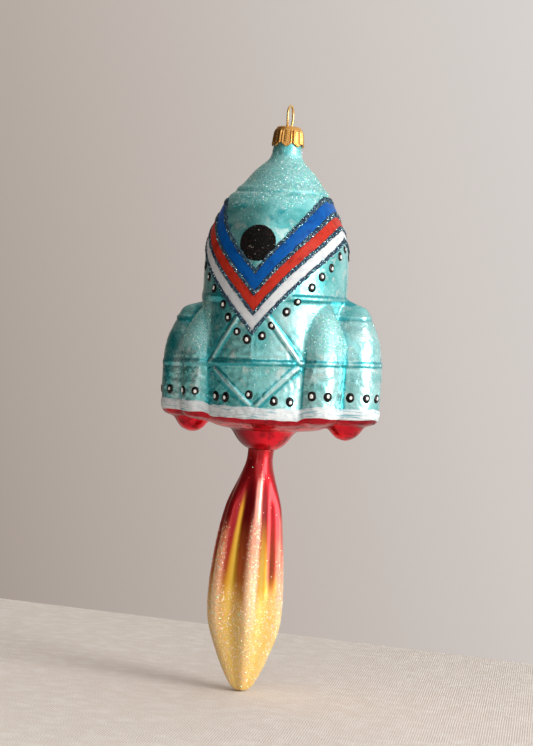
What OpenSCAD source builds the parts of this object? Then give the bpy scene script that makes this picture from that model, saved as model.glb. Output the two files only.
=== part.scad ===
// Hand-blown glass rocket ornament, millimetres.
// The origin is the hanging point: the inside top of the wire loop. +Z is up and -Y is the front.
// A crown cap with a wire hanger sits on the neck and lifts off. Everything else is the glass and
// the enamel and glitter that are fixed to it.

/* [Glass] */
// Wall thickness of the blown glass
wall = 0.8; // [0.6:0.1:1.0]
// Radius of the body at its widest
body_r = 24.5; // [24:0.1:25]
// How far the moulded ribs and belts stand proud of the body
rib_proud = 0.4; // [0.2:0.1:0.6]
// Width of a moulded rib
rib_w = 1.3; // [0.8:0.1:2]
// Angle between the moulded body and the axis it was blown on, its top to the left, in degrees
body_tilt = 2; // [0:0.5:3]

/* [Boosters] */
// Distance from the axis to the middle of each side booster
side_booster_x = 28.9; // [28:0.1:30]
// Radius of a side booster at its widest
side_booster_r = 9.5; // [9:0.1:10]
// Sideways distance to the middle of each front and back booster
front_booster_x = 20.2; // [20:0.1:21]
// Forward distance to the middle of each front booster
front_booster_y = 11; // [10.5:0.1:11.5]
// Radius of a front or back booster at its widest
front_booster_r = 7.7; // [7.4:0.1:8.2]
// How much higher the domes on the right stand than the body's tilt would put them. Those on the
// left are lower by as much
dome_level = 1.2; // [0:0.1:1.5]
// Radius of the round nozzle under each side booster
bulb_r = 6.1; // [5.5:0.1:6.5]
// Distance from the axis to the middle of each round nozzle
bulb_x = 27.2; // [26.5:0.1:29]

/* [Flame] */
// Number of flutes around the flame
flutes = 6; // [5:1:8]
// Depth of a flute as a part of the flame's radius
flute_depth = 0.16; // [0.1:0.01:0.2]
// Direction of one ridge, in degrees from the front
ridge_turn = 24; // [0:1:59]
// How far the hand-drawn flame bows to the left at mid height
flame_bow = 1.3; // [0:0.1:2]

/* [Hanger] */
// Diameter of the hanger wire
wire_d = 0.8; // [0.6:0.1:1]
// Radius of the wire's loop, to the middle of the wire
loop_r = 3.2; // [3:0.1:3.5]
// Half the distance between the two holes in the cap
hole_y = 2.4; // [2.2:0.1:2.6]
// Thickness of the cap's sheet metal
cap_sheet = 0.3; // [0.2:0.05:0.3]
// Number of petals around the cap
petals = 8; // [6:1:10]
// Direction of one petal's middle, in degrees from the front
petal_turn = 9.7; // [0:0.1:44]

/* [Decoration] */
// Thickness of the enamel stripes and the hem
enamel = 0.3; // [0.2:0.05:0.4]
// Width of the glitter lines that edge the stripes
piping_w = 1.0; // [0.8:0.1:1.2]
// Height of the glitter lines above the glass
piping_h = 0.55; // [0.4:0.05:0.7]
// Radius of each porthole
porthole_r = 5.7; // [5.2:0.1:5.8]
// Height of each porthole's middle
porthole_z = -46.5; // [-47:0.1:-45]
// Radius of a painted rivet
rivet_r = 1.4; // [1.2:0.1:1.6]
// Radius of a rivet's white centre
rivet_dot_r = 0.6; // [0.5:0.1:0.7]

/* [Hidden] */
$fn = 96;

gap = 0.03;              // keeps applied coats just clear of the glass
tilt_z = -61;            // height where the body's own axis crosses the blowing axis
cap_top = -6.65;         // outside of the cap's top
neck_top = -7.6;         // rim of the glass neck
neck_bore = 3.2;
belt_z = -65.4;          // upper moulded belt
truss_z = -87.7;         // lower moulded belt, the truss's chord
truss_turn = 41;         // where the truss's chord meets the front boosters, in degrees
chord_level = 0.6;       // how much higher the chord's right end is in the tilted body
stripe_foot = -77.2;     // bottom point of the painted stripes
stripes_h = 20.2;        // upright depth of the three stripes together, at their foot
stripes_limit = -32.2;   // the stripes go no higher than this
hem_top = -101.5;
hem_z = -106;            // where the body's sides turn under
booster_hem = 1.2;       // how much higher the boosters' sides turn under
hem_side_x = 15.2;       // the hem is higher beyond this distance from the middle
mouth_z = -116.3;        // the nozzle's mouth, where the flame joins
mouth_r = 5.0;
flame_tip = -199.3;
leg_end = -24;           // end of the hanger's legs, inside the neck

// A smooth line through every control point, as straight pieces.
function blend4(a, b, c, d, t) =
    0.5 * (2 * b + (c - a) * t + (2 * a - 5 * b + 4 * c - d) * t * t
           + (3 * b - a - 3 * c + d) * t * t * t);
function smooth(p, steps) = [
    for (i = [0 : len(p) - 2], s = [0 : steps - 1])
        blend4(p[max(i - 1, 0)], p[i], p[i + 1], p[min(i + 2, len(p) - 1)], s / steps),
    p[len(p) - 1]];

// Moves a half profile sideways, to its own normal, by d (inwards when negative).
function unit(v) = v / norm(v);
function shifted(p, d) = [
    for (i = [0 : len(p) - 1])
        let (t = unit(p[min(i + 1, len(p) - 1)] - p[max(i - 1, 0)]),
             q = p[i] + d * [-t[1], t[0]])
        [max(q[0], 0), q[1]]];

// The neck and its shoulder, and the nozzle's bowl, are true to the blowing axis.
SHOULDER = smooth([[3.7, neck_top], [4.1, -8.1], [4.5, -9.4], [4.7, -12], [5.0, -15],
                   [5.4, -17.4], [7.3, -19.7], [10.4, -22.5], [12.2, -25.2], [14.6, -28],
                   [15.9, -29.8], [15.0, -31.5], [12, -33]], 2);
BOWL = smooth([[11.2, -107.5], [10.6, -110], [9.9, -111.6], [8.7, -113.3], [7.0, -115.1],
               [mouth_r, mouth_z]], 2);
// The moulded body and its boosters are true to the body's own axis.
CORE = smooth([[0, -27.4], [9, -27.8], [15.2, -29.4], [17.6, -31.7], [20.1, -36.9], [22.4, -42],
               [24.0, -48], [body_r, -55], [body_r, -64], [body_r, -75], [body_r - 0.2, -88],
               [body_r - 0.8, -98], [body_r - 1.3, hem_z], [20, -107.9], [15, -109.4],
               [0, -110.3]], 2);
SIDE = smooth([[0, -66.7], [2.6, -67.6], [4.6, -70.4], [6.4, -74.6], [8.4, -79.5],
               [side_booster_r - 0.1, -86.5], [side_booster_r, -92], [side_booster_r - 0.2, -100],
               [8.9, hem_z + booster_hem], [6.4, -106.4], [0, -107.4]], 2);
FRONT = smooth([[0, -67.3], [2.4, -68.8], [4.4, -71.6], [6.0, -74.6], [7.5, -79.1],
                [front_booster_r - 0.1, -83.5], [front_booster_r, -90],
                [front_booster_r - 0.2, -100], [7.2, hem_z + booster_hem],
                [5.3, -106.5], [0, -107.5]], 2);
// A booster's profile with its dome lifted by d. The lift fades out below the truss.
function raised(p, d) = [for (q = p) [q[0], q[1] + d * min(1, max(0, (q[1] + 92) / 18))]];

// Radius of the body and of the boosters at a height.
function table(p) = [for (i = [len(p) - 1 : -1 : 0]) [p[i][1], p[i][0]]];
CORE_TABLE = table(CORE);
SIDE_TABLE = table(SIDE);
FRONT_TABLE = table(FRONT);
function core_r(z) = lookup(z, CORE_TABLE);

// ---- the glass ----

module turned(profile, grow) {
    p = shifted(profile, grow);
    last = len(p) - 1;
    rotate_extrude()
        polygon(concat([[0, p[0][1]]], p, [[0, p[last][1]]]));
}

module tilted() {
    translate([0, 0, tilt_z])
        rotate([0, -body_tilt, 0])
            translate([0, 0, -tilt_z])
                children();
}

module body_lobes(grow) {
    turned(CORE, grow);
    for (s = [-1, 1]) {
        translate([s * side_booster_x, 0, 0]) turned(raised(SIDE, s * dome_level), grow);
        for (t = [-1, 1])
            translate([s * front_booster_x, t * front_booster_y, 0])
                turned(raised(FRONT, s * dome_level), grow);
        translate([s * bulb_x, 0, hem_z + 0.3]) sphere(r = bulb_r + grow);
    }
}

module lobes(grow) {
    tilted() body_lobes(grow);
    turned(SHOULDER, grow);
    turned(BOWL, grow);
}

// One straight rib of the truss, from a to b in the front view, cut through to the back.
module rib(a, b, wide = rib_w) {
    across = wide / 2 * unit([a[1] - b[1], b[0] - a[0]]);
    rotate([90, 0, 0])
        linear_extrude(height = 80, center = true)
            polygon([a + across, b + across, b - across, a - across]);
}

// The belts stop where the stripes cross them, and the truss just under the stripes.
module truss() {
    node_x = core_r(truss_z) * sin(truss_turn);
    node_z = [truss_z - chord_level, truss_z + chord_level];
    for (s = [-1, 1]) {
        rib([s * 5.7, s < 0 ? -73.2 : -72], [s * node_x, node_z[s < 0 ? 0 : 1]]);
        rib([s * (node_x - 2), node_z[s < 0 ? 0 : 1] - 1.6], [s * 1.2, hem_top + 0.7]);
        belt_end = core_r(belt_z) * sin(s < 0 ? 33 : 28);
        translate([s < 0 ? -40 : belt_end, -40, belt_z - rib_w])
            cube([40 - belt_end, 80, 2 * rib_w]);
    }
    rib([-node_x, node_z[0]], [node_x, node_z[1]], 2 * rib_w);
}

module rocket_shell() {
    color("mediumturquoise")
        difference() {
            union() {
                lobes(0);
                tilted()
                    intersection() {
                        turned(CORE, rib_proud);
                        truss();
                    }
            }
            lobes(-wall);
            translate([0, 0, neck_top - 3]) cylinder(r = neck_bore, h = 5);
            translate([0, 0, mouth_z - 1]) cylinder(r = mouth_r - wall, h = 3);
        }
}

// Radius of the flame's ridges at each height.
FLAME = smooth([[4.5, mouth_z], [4.4, -119], [4.9, -122.5], [7.7, -129.5], [10.2, -136],
                [12.0, -146], [13.1, -156], [13.8, -167], [13.3, -176], [11.3, -182.5],
                [8.3, -189.7], [5.6, -195], [3.5, -198], [1.0, flame_tip]], 2);
flame_turns = 6 * flutes;
function flame_part(z) = (mouth_z - z) / (mouth_z - flame_tip);
function flame_x(z) = -flame_bow * sin(180 * flame_part(z));
function flute_fade(z) = min(1, max(0, (-122 - z) / 14));
function flame_point(r, z, turn) =
    let (cut = flute_depth * flute_fade(z) * (0.5 - 0.5 * cos(flutes * (turn - ridge_turn))),
         rr = r * (1 - cut))
    [flame_x(z) + rr * sin(turn), -rr * cos(turn), z];

module flame_shell() {
    n = flame_turns;
    inner = [for (p = shifted(FLAME, -wall)) if (p[0] > 1.2) p];
    rings = concat(FLAME, [for (i = [len(inner) - 1 : -1 : 1]) inner[i]],
                   [[FLAME[0][0] - wall, mouth_z]]);
    points = [for (p = rings, j = [0 : n - 1]) flame_point(p[0], p[1], 360 * j / n)];
    count = len(rings);
    tip = len(FLAME) - 1;
    faces = [
        for (i = [0 : count - 1], j = [0 : n - 1])
            if (i != tip)
                let (i2 = (i + 1) % count, j2 = (j + 1) % n)
                [i * n + j, i * n + j2, i2 * n + j2, i2 * n + j]];
    tip_face = [[for (j = [0 : n - 1]) tip * n + j]];
    roof_face = [[for (j = [0 : n - 1]) (tip + 1) * n + n - 1 - j]];
    color("orangered") polyhedron(points, concat(faces, tip_face, roof_face), convexity = 6);
}

// ---- the hanger ----

CAP = [[3.4, cap_top], [4.1, cap_top - 0.55], [4.6, cap_top - 1.25], [4.95, cap_top - 2.6],
       [5.15, cap_top - 4.6], [5.35, cap_top - 7.1]];

module hanger_cap() {
    inner = shifted(CAP, -cap_sheet);
    last = len(CAP) - 1;
    skirt = CAP[last][1];
    color("goldenrod")
        difference() {
            rotate_extrude()
                polygon(concat([[0, cap_top]], CAP,
                               [for (i = [last : -1 : 0]) [inner[i][0], min(inner[i][1],
                                cap_top - cap_sheet)]],
                               [[0, cap_top - cap_sheet]]));
            for (i = [0 : petals - 1])
                rotate([0, 0, petal_turn - 90 + (i + 0.5) * 360 / petals])
                    rotate([90, 0, 90])
                        linear_extrude(height = 8)
                            polygon([[-2.2, skirt - 0.1], [2.2, skirt - 0.1], [0, skirt + 1.35]]);
            for (s = [-1, 1])
                translate([0, s * hole_y, cap_top - 1]) cylinder(d = wire_d + 0.4, h = 2, $fn = 32);
        }
}

// Half of the wire, from the top of the loop down through the cap to the end of the leg.
HALF_WIRE = concat(
    [for (a = [90 : -22.5 : 0])
        [loop_r * cos(a), wire_d / 2 - loop_r + loop_r * sin(a)]],
    [[loop_r - 0.1, -4.6], [hole_y + 0.3, -5.9], [hole_y, cap_top - 0.15], [hole_y, -8],
     [hole_y + 0.1, -12], [hole_y + 0.2, -18], [hole_y + 0.3, leg_end]]);
WIRE = smooth(concat([for (i = [len(HALF_WIRE) - 1 : -1 : 1]) [-HALF_WIRE[i][0], HALF_WIRE[i][1]]],
                     HALF_WIRE), 2);

module hanger_wire() {
    n = 10;
    last = len(WIRE) - 1;
    points = [
        for (i = [0 : last])
            let (t = unit(WIRE[min(i + 1, last)] - WIRE[max(i - 1, 0)]), side = [-t[1], t[0]])
            for (j = [0 : n - 1])
                let (a = 360 * j / n, w = WIRE[i] + wire_d / 2 * cos(a) * side)
                [wire_d / 2 * sin(a), w[0], w[1]]];
    faces = [
        for (i = [0 : last - 1], j = [0 : n - 1])
            let (j2 = (j + 1) % n)
            [i * n + j, (i + 1) * n + j, (i + 1) * n + j2, i * n + j2]];
    ends = [[for (j = [0 : n - 1]) j], [for (j = [0 : n - 1]) last * n + n - 1 - j]];
    color("gold") polyhedron(points, concat(faces, ends), convexity = 6);
}

// ---- the enamel ----

// Height of the stripes' lower edge at a turn from the front. The left arm is a little flatter.
function stripe_low(turn) =
    stripe_foot + (turn < 0 ? 0.48 : 0.58) * abs(turn)
    - (turn < 0 ? 0.0009 : 0.0024) * turn * turn;
// Upright depth of all three stripes together. They narrow towards the sides, the right arm more.
function stripe_depth(turn) =
    min(stripes_h - (turn < 0 ? 0.0003 : 0.00075) * turn * turn,
        stripes_limit - stripe_low(turn));
// An edge of the stripes, as points in the front view. part is 0 at the foot and 1 at the top.
function stripe_edge(part, lift) = [
    for (turn = [-88 : 8 : 88])
        let (z = stripe_low(turn) + part * stripe_depth(turn) + lift)
        [core_r(z) * sin(turn), z]];
function widened(p) = concat([[-30, p[0][1]]], p, [[30, p[len(p) - 1][1]]]);
function reversed(p) = [for (i = [len(p) - 1 : -1 : 0]) p[i]];

// A coat on the body, as thick as thickness, between two edges of the stripes, front and back.
module stripe_coat(low_part, low_lift, high_part, high_lift, thickness) {
    tilted() intersection() {
        difference() {
            turned(CORE, thickness);
            turned(CORE, gap);
        }
        rotate([90, 0, 0])
            linear_extrude(height = 80, center = true)
                polygon(concat(widened(stripe_edge(low_part, low_lift)),
                               reversed(widened(stripe_edge(high_part, high_lift)))));
    }
}

half_line = 0.75 * piping_w;   // upright half height of a sloping glitter line
clear_line = half_line + 0.1;
red_part = 0.31;               // where red starts and where blue starts, from foot to top
blue_part = 0.64;

module stripe_white() {
    color("white") stripe_coat(0, clear_line, red_part, -clear_line, enamel);
}
module stripe_red() {
    color("red") stripe_coat(red_part, clear_line, blue_part, -clear_line, enamel);
}
module stripe_blue() {
    color("royalblue") stripe_coat(blue_part, clear_line, 1, -clear_line, enamel);
}
module glitter_line(part) {
    color("midnightblue") stripe_coat(part, -half_line, part, half_line, piping_h);
}
module glitter_line_bottom() { glitter_line(0); }
module glitter_line_red() { glitter_line(red_part); }
module glitter_line_blue() { glitter_line(blue_part); }
module glitter_line_top() { glitter_line(1); }

module porthole() {
    color("black")
        tilted() intersection() {
            difference() {
                turned(CORE, enamel + 0.2);
                turned(CORE, gap);
            }
            translate([0, 0, porthole_z])
                rotate([90, 0, 0]) cylinder(r = porthole_r, h = 80, center = true);
        }
}

// Everything under the hem's lower edge.
module below_hem() {
    translate([-50, -50, mouth_z - 10]) cube([100, 100, hem_z - mouth_z + 10]);
    for (x = [-50, hem_side_x])
        translate([x, -50, hem_z - 1]) cube([50 - hem_side_x, 100, 1 + booster_hem]);
}

module hem_band() {
    color("white")
        tilted() intersection() {
            difference() {
                body_lobes(enamel);
                body_lobes(gap);
                below_hem();
            }
            translate([-50, -50, hem_z - 1]) cube([100, 100, hem_top - hem_z + 1]);
        }
}

module engine_lacquer() {
    color("firebrick")
        intersection() {
            difference() {
                lobes(0.2);
                lobes(gap);
            }
            tilted() below_hem();
            translate([-50, -50, mouth_z]) cube([100, 100, 20]);
        }
}

// A low dome of enamel of radius r and height h, lifted off a surface that faces turn degrees
// from the front, at the point (x, y, z) on that surface.
module dab(x, y, z, turn, r, h, lift) {
    ball = (r * r + h * h) / (2 * h);
    translate([x, y, z])
        rotate([0, 0, turn])
            rotate([90, 0, 0])
                translate([0, 0, lift])
                    intersection() {
                        translate([0, 0, h - ball]) sphere(r = ball, $fn = 48);
                        cylinder(r = r + 1, h = h + 1);
                    }
}

rivet_h = 0.45;
dot_h = 0.2;
dot_gap = 0.01;
stripe_rivet_lift = 0.05;
hem_rivet_lift = 0.12;   // more, as the glass slopes in towards the hem

// Rivets that follow the stripes' lower edge, on the front and the back: turn and height of each.
STRIPE_RIVETS = [[-61, -55.4], [-50, -59.2], [-40, -63.1], [-28, -68.3], [-22, -72.5],
                 [-13, -77.1], [-4, -79.5], [8, -78.1], [15, -74.6], [26, -69.8], [34, -66.2],
                 [46, -61.3], [55, -57.5], [65, -54.3], [77, -50.1], [88, -47.6]];

module along_stripes(r, h, lift) {
    for (back = [0, 1], spot = STRIPE_RIVETS)
        if (back == 0 || abs(spot[0]) < 80) {
            face = back == 0 ? spot[0] : 180 - spot[0];
            dab(core_r(spot[1]) * sin(face), -core_r(spot[1]) * cos(face), spot[1], face,
                r, h, lift);
        }
}

// Rivets above the hem: turn and height of those on the body, turns of those on the boosters.
BODY_RIVETS = [[-33, -98.9], [-22, -99.1], [-0.5, -97.8], [20, -99.5], [33, -99.5]];
// Left and right.
FRONT_RIVETS = [[4, 47], [-2, 40]];
SIDE_RIVETS = [[27, 76, 120, 155], [11, 46, 76, 120, 155]];

module above_hem(r, h, lift) {
    for (back = [0, 1], spot = BODY_RIVETS) {
        face = spot[0] + 180 * back;
        dab(core_r(spot[1]) * sin(face), -core_r(spot[1]) * cos(face), spot[1], face, r, h, lift);
    }
    for (s = [-1, 1]) {
        z = s < 0 ? -97.7 : -97.2;
        side_r = lookup(z, SIDE_TABLE);
        front_r = lookup(z, FRONT_TABLE);
        hand = s < 0 ? 0 : 1;
        for (back = [0, 1], turn = FRONT_RIVETS[hand]) {
            face = s * (back == 0 ? turn : 180 - turn);
            dab(s * front_booster_x + front_r * sin(face),
                (2 * back - 1) * front_booster_y - front_r * cos(face), z, face, r, h, lift);
        }
        for (turn = SIDE_RIVETS[hand])
            dab(s * side_booster_x + side_r * sin(s * turn), -side_r * cos(s * turn), z,
                s * turn, r, h, lift);
    }
}

module stripe_rivets() {
    color("black") tilted() along_stripes(rivet_r, rivet_h, stripe_rivet_lift);
}
module stripe_rivet_centres() {
    color("white") tilted()
        along_stripes(rivet_dot_r, dot_h, stripe_rivet_lift + rivet_h + dot_gap);
}
module hem_rivets() { color("black") tilted() above_hem(rivet_r, rivet_h, hem_rivet_lift); }
module hem_rivet_centres() {
    color("white") tilted() above_hem(rivet_dot_r, dot_h, hem_rivet_lift + rivet_h + dot_gap);
}

rocket_shell();
flame_shell();
hanger_cap();
hanger_wire();
porthole();
stripe_blue();
stripe_red();
stripe_white();
glitter_line_top();
glitter_line_blue();
glitter_line_red();
glitter_line_bottom();
hem_band();
engine_lacquer();
stripe_rivets();
stripe_rivet_centres();
hem_rivets();
hem_rivet_centres();
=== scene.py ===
import math
import random

import bpy
import numpy as np
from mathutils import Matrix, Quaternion, Vector, noise
from mathutils.bvhtree import BVHTree

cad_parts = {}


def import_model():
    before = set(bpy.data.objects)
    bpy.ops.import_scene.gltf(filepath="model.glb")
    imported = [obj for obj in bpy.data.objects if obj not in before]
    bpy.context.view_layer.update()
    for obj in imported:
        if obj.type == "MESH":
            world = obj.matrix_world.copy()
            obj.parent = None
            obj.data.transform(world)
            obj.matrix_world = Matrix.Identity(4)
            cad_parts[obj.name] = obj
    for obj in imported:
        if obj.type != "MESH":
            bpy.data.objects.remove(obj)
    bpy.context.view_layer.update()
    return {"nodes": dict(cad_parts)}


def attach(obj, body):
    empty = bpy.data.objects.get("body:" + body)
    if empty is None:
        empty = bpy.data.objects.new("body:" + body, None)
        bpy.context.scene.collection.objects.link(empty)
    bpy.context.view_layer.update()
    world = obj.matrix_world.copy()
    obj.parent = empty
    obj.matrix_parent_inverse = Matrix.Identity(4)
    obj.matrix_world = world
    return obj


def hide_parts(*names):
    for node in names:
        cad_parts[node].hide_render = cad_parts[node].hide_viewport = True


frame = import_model()

# A hand-blown, silvered and lacquered glass rocket that hangs from a gold cap. Shapes are worked
# out in millimetres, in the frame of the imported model, by casting rays at its glass nodes.
# A turn is an angle round the upright axis, in degrees: 0 is the front, 90 is the right (+X).
MM = 0.001

# ---- places on the glass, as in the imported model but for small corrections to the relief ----

BODY_TILT = math.radians(2)      # the moulded body leans to the left of the blowing axis
TILT_PIVOT = -61.0
NECK_TOP = -7.6
NECK_BORE = 3.2
SHOULDER_RING = -29.4
BELT_Z = -65.4
CHORD_Z = -87.2
CHORD_RISE = 0.034               # the belts are level with the ground, not with the tilted body
LEFT_RING_Z = -73.6              # the rings round the side boosters' shoulders
RIGHT_RING_Z = -70.7
HEM_TOP = -101.5
HEM_Z = -106.0
MOUTH_Z = -116.3
MOUTH_R = 5.0
FLAME_TIP = -199.3
TRUSS_X = 15.9                   # where the chord of the truss meets the front boosters
STRIPE_FOOT = -77.2
STRIPES_H = 20.2
STRIPES_LIMIT = (-33.2, -31.2)   # how high the stripes reach, on the left and on the right
RED_PART = 0.31
BLUE_PART = 0.64
PORTHOLE_DROP = 0.9              # the painted disc hangs this far below the modelled one
PORTHOLE_R = 6.35
FLUTES = 6
RIDGE_TURN = 24.0
FLAME_BOW = 1.3
FLUTE_DEEPER = 0.075             # the hand-drawn flutes are this much deeper, as a part of the radius
WALL = 0.8

# ---- coats and glitter ----

SINK = 0.12                      # the coats reach this far into the glass
STROKE_R = 24                    # the radius that brush strokes are measured along
BODY_REACH = 36                  # glitter falls as thickly here as its mask says, and thinner inside
FLAME_REACH = 13
NOSE_GLITTER_END = -46           # the nose is glittered down to here
BOOSTER_GLITTER_TOP = -60
NOSE_FLAKES = 9000
BOOSTER_FLAKES = 7000
LINE_FLAKES = 3000               # on each of the four lines
PORTHOLE_FLAKES = 1100           # on each of the two
FLAME_FLAKES = 12000


# ---- small helpers ----

def srgb(code):
    """A linear colour with alpha from six hex digits."""
    parts = [int(code[i:i + 2], 16) / 255 for i in (0, 2, 4)]
    return tuple(c / 12.92 if c <= 0.04045 else ((c + 0.055) / 1.055) ** 2.4 for c in parts) + (1,)


def ramp(value, low, high):
    """0 before low and 1 after high, with smooth ends. low may be above high."""
    t = np.clip((value - low) / (high - low), 0, 1)
    return t * t * (3 - 2 * t)


def bump(value, centre, width):
    """A soft hill of height 1."""
    return np.exp(-((value - centre) / width) ** 2)


def around(turn, z, r, middle=0.0):
    """The point at a turn, height and radius round an upright line that may be off the axis."""
    turn = np.radians(turn)
    return np.stack([middle + r * np.sin(turn), -r * np.cos(turn), z + 0 * turn], axis=-1)


def unit(vectors):
    return vectors / np.maximum(np.linalg.norm(vectors, axis=-1, keepdims=True), 1e-12)


def folded(turn):
    """The front's turn that a turn behind mirrors, from -90 to 90."""
    turn = (np.asarray(turn, float) + 180) % 360 - 180
    return np.where(np.abs(turn) > 90, np.sign(turn) * 180 - turn, turn)


def waves(turn, seed, size, slowest=2, fastest=30, count=8):
    """A hand's wobble round the body: sines that close on themselves."""
    rng = random.Random(seed)
    total = np.zeros_like(np.asarray(turn, float))
    for _ in range(count):
        speed = rng.randint(slowest, fastest)
        total += np.sin(np.radians(turn) * speed + rng.uniform(0, 2 * math.pi))
    return size * total / math.sqrt(count)


def soft_noise(points, cell, seed=0):
    """Smooth noise from about -1 to 1 at each point, with features about cell millimetres across."""
    shift = Vector((seed * 17.3, seed * 5.1, seed * 9.7))
    flat = points.reshape(-1, 3) / cell
    values = [noise.noise(Vector(p) + shift) for p in flat]
    return np.array(values).reshape(points.shape[:-1])


def grid_faces(rows, columns, wrap_rows=False):
    """Quads over a grid whose columns close on themselves."""
    i = np.arange(rows if wrap_rows else rows - 1)[:, None]
    j = np.arange(columns)[None, :]
    below, beside = (i + 1) % rows, (j + 1) % columns
    corners = [i * columns + j, below * columns + j, below * columns + beside, i * columns + beside]
    return np.stack(np.broadcast_arrays(*corners), axis=-1).reshape(-1, 4)


def flat_axes(normal):
    """The level direction in a surface, and the one that points up it."""
    side = unit(np.cross(np.array([0, 0, 1.0]), normal))
    return side, np.cross(normal, side)


def fan(apex, start, count, flip=False):
    """Triangles from one point to a closed ring of points."""
    pairs = [(start + j, start + (j + 1) % count) for j in range(count)]
    return [(apex, b, a) if flip else (apex, a, b) for a, b in pairs]


def add_object(name, data):
    made = bpy.data.objects.new(name, data)
    bpy.context.scene.collection.objects.link(made)
    return made


def make_piece(name, points, faces, material, body, slot, replaces=(), smooth=True, **paint):
    """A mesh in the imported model's frame. Each paint is one number or one colour for every point."""
    mesh = bpy.data.meshes.new(name)
    mesh.from_pydata((points.reshape(-1, 3) * MM).tolist(), [], [list(f) for f in faces])
    mesh.polygons.foreach_set("use_smooth", [smooth] * len(mesh.polygons))
    for key, values in paint.items():
        values = np.asarray(values, np.float32)
        if values.shape[-1] == 4 and values.ndim > 1:
            mesh.attributes.new(key, "FLOAT_COLOR", "POINT").data.foreach_set("color", values.ravel())
        else:
            mesh.attributes.new(key, "FLOAT", "POINT").data.foreach_set("value", values.ravel())
    mesh.materials.append(material)
    piece = add_object(name, mesh)
    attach(piece, body)
    if replaces:
        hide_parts(*replaces)
    return piece


def grid_normals(points):
    """Outward normals of a grid with rows downwards and closed columns."""
    down = np.gradient(points, axis=0)
    across = np.roll(points, -1, axis=1) - np.roll(points, 1, axis=1)
    return unit(np.cross(down, across))


def sample(grid, row, column):
    """The grid between its points, at fractional rows and columns. Columns close on themselves."""
    rows, columns = grid.shape[:2]
    row = np.clip(row, 0, rows - 1.001)
    i, j = np.floor(row).astype(int), np.floor(column).astype(int)
    u, v = (row - i)[..., None], (column - j)[..., None]
    j0, j1 = j % columns, (j + 1) % columns
    upper = grid[i, j0] * (1 - v) + grid[i, j1] * v
    lower = grid[i + 1, j0] * (1 - v) + grid[i + 1, j1] * v
    return upper * (1 - u) + lower * u


def cad_tree(node):
    """The CAD node's surface, in millimetres."""
    mesh = frame["nodes"][node].data
    points = [v.co / MM for v in mesh.vertices]
    return BVHTree.FromPolygons(points, [tuple(p.vertices) for p in mesh.polygons])


def cad_islands(node):
    """The middle of each separate solid in a CAD node, in millimetres."""
    mesh = frame["nodes"][node].data
    key = {}
    for v in mesh.vertices:
        key.setdefault(tuple(round(c, 6) for c in v.co), len(key))
    owner = list(range(len(key)))

    def find(k):
        while owner[k] != k:
            k = owner[k]
        return k

    index = [key[tuple(round(c, 6) for c in v.co)] for v in mesh.vertices]
    for edge in mesh.edges:
        a, b = [find(index[v]) for v in edge.vertices]
        owner[max(a, b)] = min(a, b)
    groups = {}
    for place, k in key.items():
        groups.setdefault(find(k), []).append(place)
    boxes = [(np.min(g, axis=0) + np.max(g, axis=0)) / 2 for g in groups.values()]
    return sorted([tuple(b / MM) for b in boxes])


# ---- the blown body ----

COLUMNS = 480
ROW_STEP = 0.35
SIDE_TOP = NECK_TOP - 0.2
SIDE_ROWS = int((SIDE_TOP - HEM_Z) / ROW_STEP) + 1
UNDER_ROWS = 76
OUTSIDE = 60.0                   # rays start this far out
TURNS = np.arange(COLUMNS) * 360 / COLUMNS - 180


def body_point(turn, z, r):
    """The point at a turn, height and radius. Rows lean with the moulded body between the
    shoulder and the hem, and are level on the neck and the nozzle."""
    level = np.maximum(ramp(z, -36, -20), ramp(z, HEM_Z, -112))
    lean = BODY_TILT * (1 - level)
    x, up = r * np.sin(np.radians(turn)), z - TILT_PIVOT
    return np.stack([x * np.cos(lean) - up * np.sin(lean),
                     -r * np.cos(np.radians(turn)) + 0 * z,
                     x * np.sin(lean) + up * np.cos(lean) + TILT_PIVOT], axis=-1)


def cast_rows(tree, heights, turns, place):
    """The outermost radius of the CAD surface at each height and turn."""
    radius = np.zeros((len(heights), len(turns)))
    for i, z in enumerate(heights):
        far = place(turns, np.full(len(turns), z), OUTSIDE)
        near = place(turns, np.full(len(turns), z), 0.0)
        for j in range(len(turns)):
            way = Vector(near[j] - far[j]).normalized()
            hit = tree.ray_cast(Vector(far[j]), way)
            radius[i, j] = OUTSIDE - hit[3] if hit[0] else radius[i - 1, j]
    return radius


def relax(points, keep, passes):
    """Rounds the creases between lobes. keep is 0 for rows that stay and 1 for rows that move."""
    for _ in range(passes):
        beside = (np.roll(points, 1, axis=1) + np.roll(points, -1, axis=1)) / 2
        above = np.concatenate([points[:1], points[:-1]])
        below = np.concatenate([points[1:], points[-1:]])
        average = (beside + (above + below) / 2) / 2
        points = points + 0.5 * keep[:, None, None] * (average - points)
    return points


def outer_skin():
    """The raw outside of the glass from the neck to the nozzle's mouth, as a grid."""
    tree = cad_tree("rocket_shell")
    heights = SIDE_TOP - np.arange(SIDE_ROWS) * ROW_STEP
    radius = cast_rows(tree, heights, TURNS, body_point)
    side = np.stack([body_point(TURNS, np.full(COLUMNS, z), r) for z, r in zip(heights, radius)])
    edge = side[-1]
    mouth = around(TURNS, MOUTH_Z, MOUTH_R)
    under = []
    for k in range(1, UNDER_ROWS):
        ring = edge + (mouth - edge) * k / UNDER_ROWS
        for j in range(COLUMNS):
            start = Vector((ring[j, 0], ring[j, 1], MOUTH_Z - 20))
            hit = tree.ray_cast(start, Vector((0, 0, 1)))
            ring[j, 2] = min(hit[0].z, edge[j, 2] - 0.05) if hit[0] else ring[j, 2]
        under.append(ring)
    return heights, radius, np.concatenate([side, np.stack(under), mouth[None]])


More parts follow.
